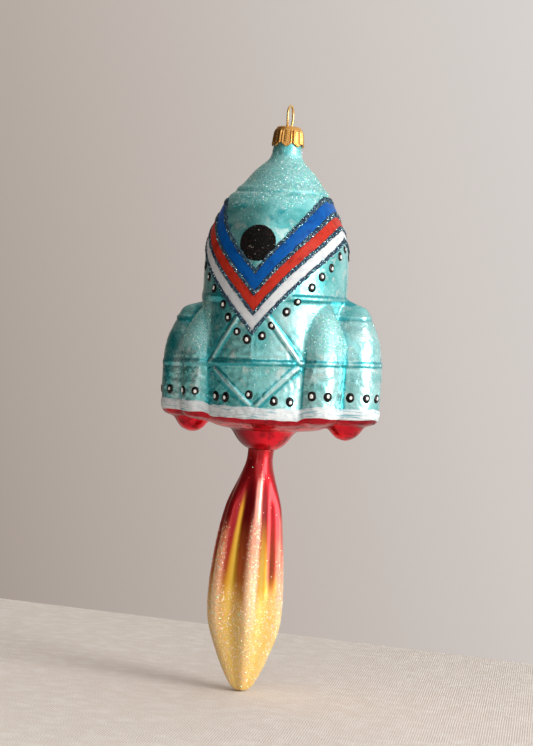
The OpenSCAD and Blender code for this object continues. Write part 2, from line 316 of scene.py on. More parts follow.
def segment_distance(x, z, a, b):
    """Signed distance from a straight rib in the front view, and how far along it, 0 to 1."""
    run = np.array(b) - np.array(a)
    length = np.hypot(*run)
    along = ((x - a[0]) * run[0] + (z - a[1]) * run[1]) / length
    off = ((x - a[0]) * run[1] - (z - a[1]) * run[0]) / length
    past = np.maximum(np.maximum(-along, along - length), 0)
    return np.where(off < 0, -1, 1) * np.hypot(off, past), along / length


RIBS = [((-5.7, -72.6), (-TRUSS_X, CHORD_Z - 0.7)), ((5.0, -71.6), (TRUSS_X, CHORD_Z + 0.6)),
        ((-TRUSS_X + 1.8, CHORD_Z - 2.1), (0.2, HEM_TOP + 0.3)),
        ((TRUSS_X - 0.8, CHORD_Z - 0.9), (2.6, HEM_TOP + 0.3))]


def stripe_low(turn):
    """Height of the stripes' lower edge. The left arm is a little flatter."""
    t = folded(turn)
    return (STRIPE_FOOT + np.where(t < 0, 0.48, 0.58) * np.abs(t)
            - np.where(t < 0, 0.0009, 0.0024) * t * t)


def stripe_edge(turn, part):
    """Height of an edge of the stripes, from part 0 at the foot to 1 at the top."""
    low = stripe_low(turn)
    t = folded(turn)
    depth = STRIPES_H - np.where(t < 0, 0.0003, 0.00075) * t * t
    limit = np.where(t < 0, STRIPES_LIMIT[0], STRIPES_LIMIT[1])
    return low + part * np.minimum(depth, limit - low)


def sculpt(skin, heights, radius, valley):
    """The moulded relief of the sides in millimetres, and the teal, frost, pale and hammer masks.
    Teal holds the painter's accents and painted shade down the left side; pale is painted highlight.
    """
    z = heights[:, None] + 0 * TURNS[None, :]
    turn = np.broadcast_to(TURNS[None, :], z.shape)
    face = folded(turn)
    side = np.abs(face)
    x = radius * np.sin(np.radians(turn))
    points = skin[:len(heights)]
    broken = soft_noise(points, 2.2, 3)
    patchy = soft_noise(points, 5.5, 5)
    fine = soft_noise(points, 0.9, 7)
    core = ramp(side, 44, 41)
    front = ramp(side, 41, 45) * ramp(side, 75, 71)
    flank = ramp(side, 71, 75)
    low = ramp(z, -66, -72)
    booster = np.maximum(front, flank) * low

    relief = np.zeros_like(z)
    teal = valley * (0.25 + 0.3 * low + 0.45 * ramp(z, -76, -85))
    pale = np.zeros_like(z)

    for k, (a, b) in enumerate(RIBS):
        off, along = segment_distance(x, z, a, b)
        inner = off * (1 if (k % 2 == 0) else -1)
        here = core * ramp(np.abs(along - 0.5), 0.56, 0.5)
        relief += here * (0.34 * bump(off, 0, 0.6) - 0.13 * (bump(off, 1.35, 0.5) + bump(off, -1.35, 0.5)))
        teal += here * (0.75 + 0.25 * (k > 1)) * bump(np.abs(off), 1.1, 0.4) * ramp(broken, -0.7, 0)
        teal += here * 0.7 * ramp(inner, 0, 0.6) * ramp(inner, 3.4, 0.8) * ramp(patchy, -0.5, 0.3)
        # pale: a painted highlight along each rib's crest
        pale = np.maximum(pale, here * bump(off, 0, 0.5))

    chord = core * ramp(np.abs(x), TRUSS_X + 1, TRUSS_X)
    chord_z = CHORD_Z + CHORD_RISE * x
    over_chord = z - chord_z
    belt_gap = z - stripe_low(turn)
    belt = ramp(belt_gap, -1.6, -2.6) * ramp(side, 20, 24)
    band = np.minimum(chord + booster, 1) * bump(over_chord, 0, 3)
    relief += (chord + 0.7 * booster) * (0.3 * bump(over_chord, 0, 0.7)
                                         - 0.16 * bump(np.abs(over_chord), 1.4, 0.5))
    over_belt = z - BELT_Z - 0.5 * CHORD_RISE * x
    relief += belt * ramp(turn, -70, -55) * (0.34 * bump(over_belt, 0, 0.8)
                                             - 0.1 * bump(np.abs(over_belt), 1.7, 0.5))
    teal += band * bump(np.abs(over_chord), 0.75, 0.4) * (1.1 + 0.5 * broken)
    teal += 0.3 * band * bump(over_chord, 0, 0.6)
    teal += belt * bump(np.abs(over_belt), 0.9, 0.42) * (1.1 + 0.5 * broken)
    teal += 0.3 * belt * bump(over_belt, 0, 0.7)

    ring = flank * low
    above_ring = z - np.where(turn < 0, LEFT_RING_Z, RIGHT_RING_Z)
    relief += ring * (0.24 * bump(above_ring, 0.7, 0.6) - 0.22 * bump(above_ring, -0.3, 0.45))
    teal += ring * (bump(above_ring, -0.3, 0.5) * (0.75 + 0.4 * broken)
                    + 0.25 * ramp(above_ring, -0.5, 1.5) * ramp(patchy, -0.4, 0.3))

    seam = ramp(z, -48, -52)
    relief += 0.2 * seam * bump(side, 88.5, 0.7)
    teal += 0.8 * seam * bump(side, 90.5, 0.9) * ramp(broken, -0.5, 0.1)
    relief += 0.1 * core * bump(x, 0, 0.5) * bump(z, -82, 3.5)
    teal += 0.4 * core * bump(x, 0.9, 0.7) * bump(z, -82, 3) * (1 + broken)
    teal += 0.5 * bump(z, HEM_TOP + 0.15, 0.3) * ramp(broken, -0.1, 0.4)

    crease = bump(z, SHOULDER_RING - 0.3, 0.5)
    relief += 0.3 * bump(z, SHOULDER_RING + 0.8, 0.8) - 0.3 * crease
    relief += 0.12 * bump(z, SHOULDER_RING + 4.6, 0.7)
    teal += crease * ramp(broken, -0.5, 0.1) * 0.85
    teal += 0.3 * bump(z, SHOULDER_RING + 3.6, 0.5) * ramp(broken, -0.3, 0.3)
    teal += 0.7 * bump(z, -35.5, 3.0) * ramp(patchy + 0.4 * broken, 0.0, 0.5)
    teal += 0.75 * bump(z, -43, 6.5) * ramp(soft_noise(points, 3.2, 11), 0.05, 0.5)
    teal += 0.7 * bump(z, -17, 4) * ramp(soft_noise(points, 3.5, 13), -0.1, 0.4)
    teal += 0.35 * ramp(z, -60, -66) * ramp(soft_noise(points, 4.2, 17), 0.22, 0.5)
    # Deeper teal down the left side and the left boosters, the side away from the window: painted shade.
    teal += 0.6 * core * ramp(face, -10, -30) * ramp(z, -40, -60) * ramp(patchy, -1.2, 0.0)
    teal += 0.3 * ramp(turn, -66, -74) * ramp(turn, -150, -110) * ramp(patchy, -0.6, 0.3)
    teal += bump(turn, -78, 2.6) * low * (0.35 + 0.6 * bump(z, CHORD_Z - 5.5, 4))
    # pale: painted highlights down the left boosters, broken up by the speckled noise
    speckled = ramp(fine + patchy, -0.7, 0.2)
    pale = np.maximum(pale, low * bump(turn, -73.3, 1.4) * speckled)
    pale = np.maximum(pale, bump(turn, -48, 3.5) * bump(z, -93, 4.5) * speckled)
    pale = np.maximum(pale, 0.7 * bump(turn, -50, 4) * bump(z, -80, 7) * speckled)
    # pale: painted highlight on the right side, where the window shines on the glass
    painted_window_highlight = ramp(turn, 8, 24) * ramp(turn, 130, 100) * low * ramp(patchy, -0.7, 0.1)
    pale = np.maximum(pale, 0.55 * painted_window_highlight * (1 - teal.clip(0, 1)))

    frost = ramp(z + 3 * patchy, -37, -31) * ramp(z + 3 * broken, -13, -19)
    streaks = soft_noise(points * np.array([0.35, 0.35, 1.6]), 2.6, 29)
    teal += 0.6 * frost * ramp(streaks, 0.1, 0.45) * ramp(z, -60, -50)
    dome = front * low * ramp(z + 2.5 * patchy, CHORD_Z + 0.5, CHORD_Z + 6) * (0.8 + 0.3 * broken)
    frost = np.maximum(frost, dome)
    hammered = soft_noise(points * np.array([1, 1, 0.8]), 1.5, 19)
    hammer = np.clip((booster + 0.35 * core * ramp(z, -78, -86)) * ramp(frost, 0.7, 0.2), 0, 1)
    relief += ((0.2 - 0.08 * ramp(side, 76, 84)) * hammered * hammer
               + 0.05 * hammered * ramp(z, -60, -72) * core)
    relief += 0.03 * patchy * ramp(z, -20, -30)
    relief -= 0.015 * fine * (1 - frost)
    return relief, [np.clip(mask, 0, 1) for mask in (teal, frost, pale, hammer)]


heights, radius, raw_skin = outer_skin()
moving = ramp(np.arange(len(raw_skin)), (SIDE_TOP + 17) / ROW_STEP, (SIDE_TOP + 20) / ROW_STEP)
moving *= ramp(np.arange(len(raw_skin))[::-1], 0, 6)
skin = relax(raw_skin, moving, 16)
swell = np.sum((skin - raw_skin) * grid_normals(skin), axis=-1)
valley = ramp(swell, 0.04, 0.3)[:SIDE_ROWS]
relief, masks = sculpt(skin, heights, radius, valley)
teal, frost, pale, hammer = masks
under_dimples = 0.12 * soft_noise(skin[SIDE_ROWS:], 2.3, 23)
under_dimples *= ramp(np.arange(len(skin) - SIDE_ROWS), 0, 8)[:, None]
under_dimples *= ramp(np.arange(len(skin) - SIDE_ROWS), 52, 40)[:, None]
skin = skin + np.concatenate([relief, under_dimples])[..., None] * grid_normals(skin)
skin_normals = grid_normals(skin)


def row_of(z):
    """Fractional row of a height. Past the hem it runs on across the underside."""
    return (SIDE_TOP - z) / ROW_STEP


def on_body(turn, z):
    """The point on the finished glass and its normal, at a turn and a height."""
    column = (np.asarray(turn, float) + 180) * COLUMNS / 360
    row = row_of(np.asarray(z, float))
    return sample(skin, row, column), unit(sample(skin_normals, row, column))


# ---- materials ----

class Nodes:
    """A material's nodes, made in few words."""

    def __init__(self, name):
        self.material = bpy.data.materials.new(name)
        self.material.use_nodes = True
        self.tree = self.material.node_tree
        self.shader = self.tree.nodes["Principled BSDF"]
        self.place = self.tree.nodes.new("ShaderNodeTexCoord").outputs["Object"]

    def link(self, source, target):
        """Sets a number, a vector or a colour in hex on a socket, or links a socket to it."""
        if isinstance(source, str):
            source = srgb(source)
        if isinstance(source, (int, float, tuple)):
            target.default_value = source
        else:
            self.tree.links.new(source, target)

    def node(self, kind, output, inputs, **settings):
        node = self.tree.nodes.new("ShaderNode" + kind)
        for key, value in settings.items():
            setattr(node, key, value)
        for key, value in inputs.items():
            self.link(value, node.inputs[key])
        return node.outputs[output]

    def set(self, **values):
        for key, value in values.items():
            self.link(value, self.shader.inputs[key.replace("_", " ")])

    def paint(self, key):
        return self.node("Attribute", "Color", {}, attribute_name=key)

    def noise(self, cell, detail=3.0, rough=0.55, vector=None):
        """Noise from 0 to 1, with features about cell millimetres across."""
        return self.node("TexNoise", "Fac", {"Scale": 1 / (cell * MM), "Detail": detail,
                                             "Roughness": rough, "Vector": vector or self.place})

    def streak(self, along, across, cell, rough):
        """Noise that a brush drew out: small shares of the painted along and across."""
        parts = {axis: self.times(self.paint(key), share * MM)
                 for axis, key, share in (("X", "along", along), ("Y", "across", across))}
        return self.noise(cell, 4, rough, self.node("CombineXYZ", "Vector", parts))

    def cells(self, cell):
        return self.node("TexVoronoi", "Color", {"Scale": 1 / (cell * MM), "Vector": self.place})

    def between(self, value, low, high, start=0.0, end=1.0):
        """value, stretched so that low gives start and high gives end."""
        return self.node("MapRange", "Result", {"Value": value, "From Min": low, "From Max": high,
                                                "To Min": start, "To Max": end},
                         interpolation_type="SMOOTHSTEP")

    def mix(self, share, a, b):
        return self.node("Mix", 2, {"Factor": share, 6: a, 7: b}, data_type="RGBA")

    def plus(self, a, b):
        return self.node("Math", 0, {0: a, 1: b}, operation="ADD")

    def times(self, a, b):
        return self.node("Math", 0, {0: a, 1: b}, operation="MULTIPLY")

    def rough(self, height, size, strength=1.0):
        """Bumps of about size millimetres from a height of 0 to 1."""
        node = self.tree.nodes.new("ShaderNodeBump")
        node.inputs["Strength"].default_value = strength
        node.inputs["Distance"].default_value = size * MM
        self.tree.links.new(height, node.inputs["Height"])
        self.tree.links.new(node.outputs["Normal"], self.shader.inputs["Normal"])


def turquoise_lacquer():
    """Satin metallic lacquer over silvered glass: pearl mint with cloudy teal, darker teal where the
    painter's brush left it and in the creases, painted shade in teal down the left side, painted highlights
    where the pale mask lies, and pale frost under the glitter."""
    n = Nodes("turquoise_lacquer")
    cloud = n.noise(8, 4, 0.6)
    colour = n.mix(n.between(cloud, 0.36, 0.66), "8ad8da", "46b2b4")
    smear = n.noise(2.4, 5, 0.65)
    colour = n.mix(n.between(smear, 0.54, 0.74, 0, 0.5), colour, "2c9c9b")
    colour = n.mix(n.between(n.noise(4.0, 4, 0.6), 0.52, 0.7, 0, 0.65), colour, "def1ee")
    teal = n.between(n.plus(n.paint("teal"), n.between(n.noise(1.1, 3, 0.6), 0.3, 0.7, -0.2, 0.2)),
                     0.12, 0.95)
    # The teal mask also carries painted shade down the left side.
    colour = n.mix(teal, colour, "0a9ca6")
    # pale: painted highlights, mixed towards near-white.
    colour = n.mix(n.times(n.paint("pale"), 0.6), colour, "d9f2f4")
    frost = n.paint("frost")
    powder = n.mix(n.between(n.noise(0.55, 2, 0.7), 0.38, 0.66), "4caaae", "a6d6da")
    colour = n.mix(n.times(frost, n.between(teal, 0, 1, 0.85, 0.2)), colour, powder)
    n.set(Base_Color=colour,
          Metallic=n.between(frost, 0, 1, 0.78, 0.3),
          Roughness=n.plus(n.between(smear, 0.3, 0.8, 0.24, 0.36), n.times(frost, 0.28)),
          Coat_Weight=0.65, Coat_Roughness=0.16)
    dimples = n.times(n.noise(1.7, 3, 0.55), n.between(n.paint("hammer"), 0, 1, 0.5, 3.2))
    grain = n.plus(n.times(n.noise(0.35, 2, 0.7), n.between(frost, 0, 1, 0.1, 1.1)), dimples)
    n.rough(grain, 0.09, 0.9)
    return n.material


def enamel(name, base, lit, shade, rough=0.36, shine=0.2):
    """Brushed enamel: streaks run along the stroke, which the mesh paints as along and across."""
    n = Nodes(name)
    streak = n.streak(0.16, 1.7, 0.45, 0.6)
    pool = n.noise(3.2, 3, 0.6)
    # lit and shade are the enamel in light and in shade: streaks lay painted highlight, pools painted
    # shade.
    colour = n.mix(n.between(streak, 0.42, 0.7, 0, 0.9), base, lit)
    colour = n.mix(n.between(pool, 0.48, 0.74, 0, 0.75), colour, shade)
    n.set(Base_Color=colour, Roughness=n.between(streak, 0.3, 0.7, rough - 0.06, rough + 0.1),
          Specular_IOR_Level=shine)
    n.rough(n.plus(streak, n.times(n.noise(0.8, 2, 0.5), 0.4)), 0.12, 0.7)
    return n.material


def hem_enamel():
    """White enamel with thin teal brush streaks that run along the hem."""
    n = Nodes("hem_enamel")
    streak = n.streak(0.09, 1.3, 0.5, 0.55)
    colour = n.mix(n.between(n.noise(2.6, 3, 0.6), 0.45, 0.7), "d5dbdd", "b6c0c5")
    thin = n.times(n.between(streak, 0.54, 0.6), n.between(n.noise(8, 2, 0.5), 0.4, 0.52))
    colour = n.mix(n.times(thin, 0.85), colour, "4c9fae")
    n.set(Base_Color=colour, Roughness=0.36, Specular_IOR_Level=0.3)
    n.rough(n.plus(streak, n.noise(1.2, 2, 0.5)), 0.16, 0.8)
    return n.material


def red_lacquer():
    """Clear red over silver, with darker pools."""
    n = Nodes("red_lacquer")
    pool = n.noise(4.0, 3, 0.6)
    colour = n.mix(n.between(pool, 0.42, 0.68), "ff2036", "960818")
    colour = n.mix(n.paint("shade"), colour, "7c1222")
    n.set(Base_Color=colour, Metallic=0.94, Roughness=n.between(pool, 0.3, 0.7, 0.16, 0.27),
          Coat_Weight=0.25, Coat_Roughness=0.08)
    n.rough(n.noise(2.4, 3, 0.5), 0.34, 1.0)
    return n.material


def flame_lacquer():
    """Clear red, orange and gold over silver, duller where glitter is glued on."""
    n = Nodes("flame_lacquer")
    frost = n.paint("frost")
    speck = n.noise(0.4, 2, 0.7)
    colour = n.mix(n.times(frost, n.between(speck, 0.42, 0.7, 0.05, 0.45)), n.paint("tint"),
                   "fce8b8")
    n.set(Base_Color=colour, Metallic=n.between(frost, 0, 1, 0.86, 0.15),
          Roughness=n.between(frost, 0, 1, 0.34, 0.6), Coat_Weight=n.between(frost, 0, 1, 0.45, 0.3),
          Coat_Roughness=0.14)
    grain = n.plus(n.times(speck, n.between(frost, 0, 1, 0.03, 1.0)), n.noise(2.8, 2, 0.5))
    n.rough(grain, 0.07, 0.7)
    return n.material


def gold(name, dark, lit, rough):
    """Stamped gold-plated sheet, browner in the grooves."""
    n = Nodes(name)
    wear = n.noise(1.3, 4, 0.6)
    colour = n.mix(n.between(wear, 0.35, 0.7, 0, 0.5), lit, dark)
    colour = n.mix(n.times(n.paint("recess"), 0.8), colour, "855217")
    n.set(Base_Color=colour, Metallic=1.0, Roughness=n.between(wear, 0.3, 0.7, rough, rough + 0.14))
    n.rough(n.noise(0.3, 3, 0.6), 0.03, 0.6)
    return n.material


def gloss_dab(name, colour, rough, shine):
    """A brushed dot of thick gloss enamel."""
    n = Nodes(name)
    tone = n.mix(n.noise(0.8, 3, 0.6), colour[0], colour[1])
    n.set(Base_Color=tone, Roughness=n.between(n.noise(0.6, 2, 0.5), 0.3, 0.7, rough, rough + 0.12),
          Specular_IOR_Level=shine)
    n.rough(n.noise(0.7, 2, 0.5), 0.05, 0.6)
    return n.material


def glue_bed(name, dark, light, shine=0.5):
    """The rough coloured glue that glitter sits in."""
    n = Nodes(name)
    colour = n.mix(n.between(n.noise(0.4, 2, 0.7), 0.4, 0.65), dark, light)
    n.set(Base_Color=colour, Metallic=0.2, Roughness=n.between(n.noise(0.3, 2, 0.7), 0.3, 0.7, 0.4, 0.75),
          Specular_IOR_Level=shine)
    n.rough(n.plus(n.noise(0.3, 3, 0.7), n.cells(0.32)), 0.12, 0.8)
    return n.material


def foil(name, rough, metal, painted_glint):
    """Cut foil. Each flake has its own tint, and some get a little white as a painted glint."""
    n = Nodes(name)
    colour = n.mix(n.between(n.noise(0.6, 1, 0.5), 0.4, 0.6, 0, painted_glint), n.paint("tint"), "ffffff")
    n.set(Base_Color=colour, Metallic=metal, Roughness=rough)
    return n.material


TURQUOISE = turquoise_lacquer()
BLUE = enamel("blue_enamel", "004a94", "0464b8", "023676", 0.38, 0.1)
RED = enamel("red_enamel", "ae2a1c", "ca3a28", "7c180f", 0.38, 0.1)
WHITE = enamel("white_enamel", "c8ccd0", "d7dadb", "a6b1b8", 0.4)
HEM = hem_enamel()
RED_LACQUER = red_lacquer()
FLAME = flame_lacquer()
CAP_GOLD = gold("cap_gold", "c88d40", "ecb66c", 0.2)
WIRE_GOLD = gold("wire_gold", "c89850", "f2cc84", 0.16)
BLACK_DAB = gloss_dab("black_dab", ("050404", "0a0808"), 0.16, 0.25)
WHITE_DAB = gloss_dab("white_dab", ("f6f6f4", "e4e3de"), 0.3, 0.5)
NAVY_BED = glue_bed("navy_bed", "0c2138", "235068")
BLACK_BED = glue_bed("black_bed", "030202", "0c0909", 0.15)
BRIGHT_FOIL = foil("bright_foil", 0.22, 0.85, 0.14)
NAVY_FOIL = foil("navy_foil", 0.26, 0.8, 0.06)
DARK_FOIL = foil("dark_foil", 0.34, 0.6, 0.0)


# ---- building pieces on the glass ----

def ring_turns(step=0.5):
    return np.arange(-180, 180, step)


def closed_coat(name, layers, under, material, slot, replaces, **paint):
    """A thin closed solid round the body. layers is a grid of outer points, rows downwards, and
    under is the matching grid against the glass."""
    points = np.concatenate([layers, under[::-1]])
    paints = {k: np.concatenate([v, v[::-1]]) for k, v in paint.items()}
    faces = grid_faces(len(points), points.shape[1], wrap_rows=True)
    return make_piece(name, points, faces, material, "glass_body", slot, replaces, **paints)


def painted_ring(name, high, low, thick, material, slot, replaces, rows=9, crown=6.0, step=0.5):
    """Enamel round the body between two edges, each a height at each turn. It is full in the
    middle and rounds down to the glass at both edges."""
    turn = ring_turns(step)
    top, bottom = high(turn), low(turn)
    layers, under, along, across = [], [], [], []
    for k in range(rows):
        u = k / (rows - 1)
        z = top + (bottom - top) * u
        place, normal = on_body(turn, z)
        layers.append(place + normal * thick * (1 - abs(2 * u - 1) ** crown))
        under.append(place - normal * SINK)
        along.append(np.radians(turn) * STROKE_R)
        across.append(top - z)
    return closed_coat(name, np.stack(layers), np.stack(under), material, slot, replaces,
                       along=np.stack(along), across=np.stack(across))


def flake_mesh(name, points, normals, size, tints, material, slot, seed, body="glass_body", tilt=0.5):
    """Glitter: a flat double pyramid for each flake, lying roughly along the surface."""
    rng = np.random.default_rng(seed)
    count = len(points)
    lean = unit(normals + tilt * rng.normal(size=(count, 3)) * 0.6)
    t1 = unit(np.cross(lean, rng.normal(size=(count, 3))))
    t2 = np.cross(lean, t1)
    r = (size * rng.uniform(0.65, 1.25, count))[:, None]
    corners = [points + r * t1, points + r * t2 * 0.85, points - r * t1, points - r * t2 * 0.85]
    corners += [points + lean * r * 0.3, points - lean * r * 0.3]
    mesh_points = np.stack(corners, axis=1)
    pattern = np.array(fan(4, 0, 4) + fan(5, 0, 4, flip=True))
    faces = (pattern[None] + 6 * np.arange(count)[:, None, None]).reshape(-1, 3)
    return make_piece(name, mesh_points, faces, material, body, slot, smooth=False,
                      tint=np.repeat(tints, 6, axis=0))


def pick_tints(codes, weights, count, seed):
    rng = np.random.default_rng(seed)
    palette = np.array([srgb(c) for c in codes])
    return palette[rng.choice(len(codes), count, p=np.array(weights) / sum(weights))]


def glass_shell():
    """The closed glass shell: its sculpted outside, and a plain inside up to the neck's rim."""
    inside = [(3.5, NECK_TOP), (NECK_BORE + 0.05, NECK_TOP - 0.05), (NECK_BORE, NECK_TOP - 0.4),
              (NECK_BORE, -10.6), (4.0, -14), (4.5, -17.4), (9, -23), (12.5, -28.5), (16, -34),
              (20, -40), (22, -52), (22.5, -80), (21.5, -100), (13, -106.2), (7, -111.5),
              (MOUTH_R - WALL, MOUTH_Z)]
    rows = [body_point(TURNS, np.full(COLUMNS, z), r) for r, z in inside]
    points = np.concatenate([np.stack(rows[::-1]), skin])
    beyond = ((len(rows), len(skin) - SIDE_ROWS), (0, 0))
    # pale carries painted highlights, and teal carries some painted shade.
    paints = {key: np.pad(mask, beyond) for key, mask in zip(("teal", "frost", "pale", "hammer"), masks)}
    faces = grid_faces(len(points), COLUMNS, wrap_rows=True)
    make_piece("glass_shell", points, faces, TURQUOISE, "glass_body", "turquoise_glass",
               ["rocket_shell"], **paints)


def engine_coat():
    """Red lacquer on the underside, from under the hem's enamel to the nozzle's mouth."""
    first = int(row_of(HEM_Z + 2.4))
    place, normal = skin[first:], skin_normals[first:]
    count = len(place)
    row = np.arange(count)[:, None]
    shade = 0.6 * ramp(row, 32, 8) + ramp(row, 44, 58) * ramp(TURNS[None, :], 30, -40)
    closed_coat("engine_coat", place + 0.12 * normal, place - 0.08 * normal, RED_LACQUER,
                "red_lacquer", ["engine_lacquer"], shade=shade)


def hem_coat():
    raised = lambda t: ramp(np.abs(folded(t)), 40, 46)
    high = lambda t: HEM_TOP - 0.4 + 1.0 * raised(t) + waves(t, 31, 0.22, 5, 40)
    low = lambda t: HEM_Z - 0.05 + 1.3 * raised(t) + waves(t, 33, 0.16, 4, 26)
    painted_ring("hem_coat", high, low, 0.24, HEM, "white_enamel", ["hem_band"], rows=12, crown=8)


def stripe_coats():
    """Blue, red and white enamel in a V. Each meets its neighbour under a glitter line."""
    parts = [("stripe_blue", 1, BLUE_PART, BLUE, "blue_enamel"),
             ("stripe_red", BLUE_PART, RED_PART, RED, "red_enamel"),
             ("stripe_white", RED_PART, 0, WHITE, "white_enamel")]
    for node, top, bottom, material, slot in parts:
        high = lambda t, p=top: stripe_edge(t, p) - 0.35
        low = lambda t, p=bottom: stripe_edge(t, p) + 0.35
        painted_ring(node + "_coat", high, low, 0.26, material, slot, [node], rows=11)


def glitter_lines():
    """Beads of navy glue along the stripes' edges, set with silver, aqua and navy glitter."""
    tints = (["0c2740", "123a58", "2a6f86", "9fdbe2", "e9fbff"], [4, 4, 3, 1.8, 0.8])
    nodes = [("bottom", 0), ("red", RED_PART), ("blue", BLUE_PART), ("top", 1)]
    for k, (word, part) in enumerate(nodes):
        middle = lambda t, p=part, s=k: stripe_edge(t, p) + waves(t, 40 + s, 0.12, 9, 60, 10)
        half = lambda t, s=k: 0.98 + waves(t, 50 + s, 0.12, 20, 90, 12)
        node = "glitter_line_" + word
        painted_ring(node + "_bead", lambda t: middle(t) + half(t), lambda t: middle(t) - half(t),
                     0.46, NAVY_BED, "navy_glitter", [node], rows=8, crown=2.2, step=0.36)
        rng = np.random.default_rng(60 + k)
        turn = rng.uniform(-180, 180, LINE_FLAKES)
        across = rng.uniform(-1, 1, LINE_FLAKES)
        z = middle(turn) + across * half(turn) * 1.05
        place, normal = on_body(turn, z)
        lift = 0.47 * (1 - np.abs(across) ** 2.2) + 0.02
        flake_mesh(node + "_flakes", place + normal * lift[:, None], normal, 0.25,
                   pick_tints(*tints, LINE_FLAKES, 70 + k), NAVY_FOIL, "navy_glitter", 80 + k, tilt=0.8)


class Draper:
    """Lays small flat outlines on the finished glass."""

    def __init__(self):
        faces = grid_faces(len(skin), COLUMNS)
        self.tree = BVHTree.FromPolygons(skin.reshape(-1, 3).tolist(), faces.tolist())

    def nearest(self, point):
        place, normal, _, _ = self.tree.find_nearest(Vector(point))
        return np.array(place), np.array(normal)


def dab_points(draper, centre, outline, height, rings, lift=0.0):
    """A domed dab of paint: rings of points from the middle out to the outline, then a lower
    face against the glass. outline gives the edge's radius at each angle."""
    centre, normal = draper.nearest(centre)
    side, up = flat_axes(normal)
    steps = len(outline)
    angle = np.arange(steps) * 2 * math.pi / steps
    points = []
    for k in range(1, rings + 1):
        share = math.sin(k / rings * math.pi / 2)
        for a, r in zip(angle, outline):
            flat = centre + share * r * (math.cos(a) * side + math.sin(a) * up)
            place, out = draper.nearest(flat)
            points.append(place + out * (lift + height * (1 - share ** 3)))
    top, out = draper.nearest(centre)
    points.append(top + out * (lift + height))
    points.append(top - out * (SINK - lift))
    apex = rings * steps
    faces = fan(apex, 0, steps) + fan(apex + 1, apex - steps, steps, flip=True)
    faces += grid_faces(rings, steps).tolist()
    return np.array(points), faces


def join_dabs(name, dabs, material, slot, replaces, **paint):
    points, faces, start = [], [], 0
    for p, f in dabs:
        points.append(p)
        faces += [tuple(v + start for v in face) for face in f]
        start += len(p)
    return make_piece(name, np.concatenate(points), faces, material, "glass_body", slot, replaces, **paint)


def uneven(rng, r, steps, wobble, tall=1.0):
    """A nearly round outline, as a brush leaves it."""
    angle = np.arange(steps) * 2 * math.pi / steps
    out = np.ones(steps)
    for speed in (2, 3, 5):
        out += wobble * rng.uniform(0.3, 1) / speed * 1.6 * np.sin(speed * angle + rng.uniform(0, 6.28))
    return r * out * (1 + (tall - 1) * np.abs(np.sin(angle)))


def rivets(draper):
    """Black dabs with a small white dot that the painter set a little off the middle."""
    rng = np.random.default_rng(5)
    for row in ("stripe", "hem"):
        dark, dots = [], []
        for centre in cad_islands(row + "_rivets"):
            tall = rng.uniform(1.0, 1.18)
            r = rng.uniform(1.36, 1.58)
            dark.append(dab_points(draper, centre, uneven(rng, r, 22, 0.05, tall), 0.42, 5))
            shift = np.array([rng.uniform(-0.2, 0.2), 0, rng.uniform(-0.2, 0.2)])
            outline = uneven(rng, r * rng.uniform(0.32, 0.38), 16, 0.07, rng.uniform(1.15, 1.55))
            dots.append(dab_points(draper, np.array(centre) + shift, outline, 0.14, 3, lift=0.36))
        join_dabs(row + "_rivet_dabs", dark, BLACK_DAB, "black_enamel", [row + "_rivets"])
        join_dabs(row + "_rivet_dots", dots, WHITE_DAB, "white_enamel", [row + "_rivet_centres"])


def portholes(draper):
    """A disc of black glitter on the front and one behind."""
    rng = np.random.default_rng(9)
    discs, spots = [], []
    for centre in cad_islands("porthole"):
        centre = np.array(centre) - (0, 0, PORTHOLE_DROP)
        outline = uneven(rng, PORTHOLE_R, 72, 0.012)
        discs.append(dab_points(draper, centre, outline, 0.34, 14))
        middle, normal = draper.nearest(centre)
        side, up = flat_axes(normal)
        for _ in range(PORTHOLE_FLAKES):
            r, a = PORTHOLE_R * math.sqrt(rng.uniform(0, 1)), rng.uniform(0, 2 * math.pi)
            place, out = draper.nearest(middle + r * (math.cos(a) * side + math.sin(a) * up))
            spots.append((place + out * (0.3 * (1 - (r / PORTHOLE_R) ** 3) + 0.05), out))
    join_dabs("porthole_discs", discs, BLACK_BED, "black_glitter", ["porthole"])
    tints = pick_tints(["040303", "0b0808", "1a1314", "33241f", "c8c2ba", "7a4030"],
                       [8, 6, 3, 0.9, 0.4, 0.25], len(spots), 15)
    flake_mesh("porthole_flakes", np.array([s[0] for s in spots]), np.array([s[1] for s in spots]),
               0.2, tints, DARK_FOIL, "black_glitter", 16, tilt=0.6)


def scattered(share, last_row, count, seed):
    """Random rows and columns of a grid, thick where the share is high."""
    rng = np.random.default_rng(seed)
    width = share.shape[1]
    spots = []
    while len(spots) < count:
        row, column = rng.uniform(0, last_row), rng.uniform(0, width)
        if rng.uniform(0, 1) < share[int(row), int(column) % width]:
            spots.append((row, column))
    return np.array(spots).T


def body_glitter():
    """Clear iridescent glitter on the nose and the front boosters' domes."""
    cool = (["ffffff", "d5f3ec", "98ecd0", "62deb4", "d8d0f0", "70d8e0"], [4, 4, 4, 3.5, 0.7, 2.5])
    z, thick = heights[:, None], frost ** 1.5
    upper = np.where(z >= NOSE_GLITTER_END, 0.02 + thick, 0)
    lower = np.where(z < BOOSTER_GLITTER_TOP, np.maximum(thick, 0.012), 0)
    for name, mask, count, seed in (("nose_glitter", upper, NOSE_FLAKES, 21),
                                    ("booster_glitter", lower, BOOSTER_FLAKES, 22)):
        rows, columns = scattered(mask * radius / BODY_REACH, SIDE_ROWS - 1, count, seed)
        place, normal = on_body(columns * 360 / COLUMNS - 180, SIDE_TOP - rows * ROW_STEP)
        flake_mesh(name, place + 0.03 * normal, normal, 0.17, pick_tints(*cool, count, seed + 5),
                   BRIGHT_FOIL, "turquoise_glass", seed + 9, tilt=0.75)


# ---- the flame ----

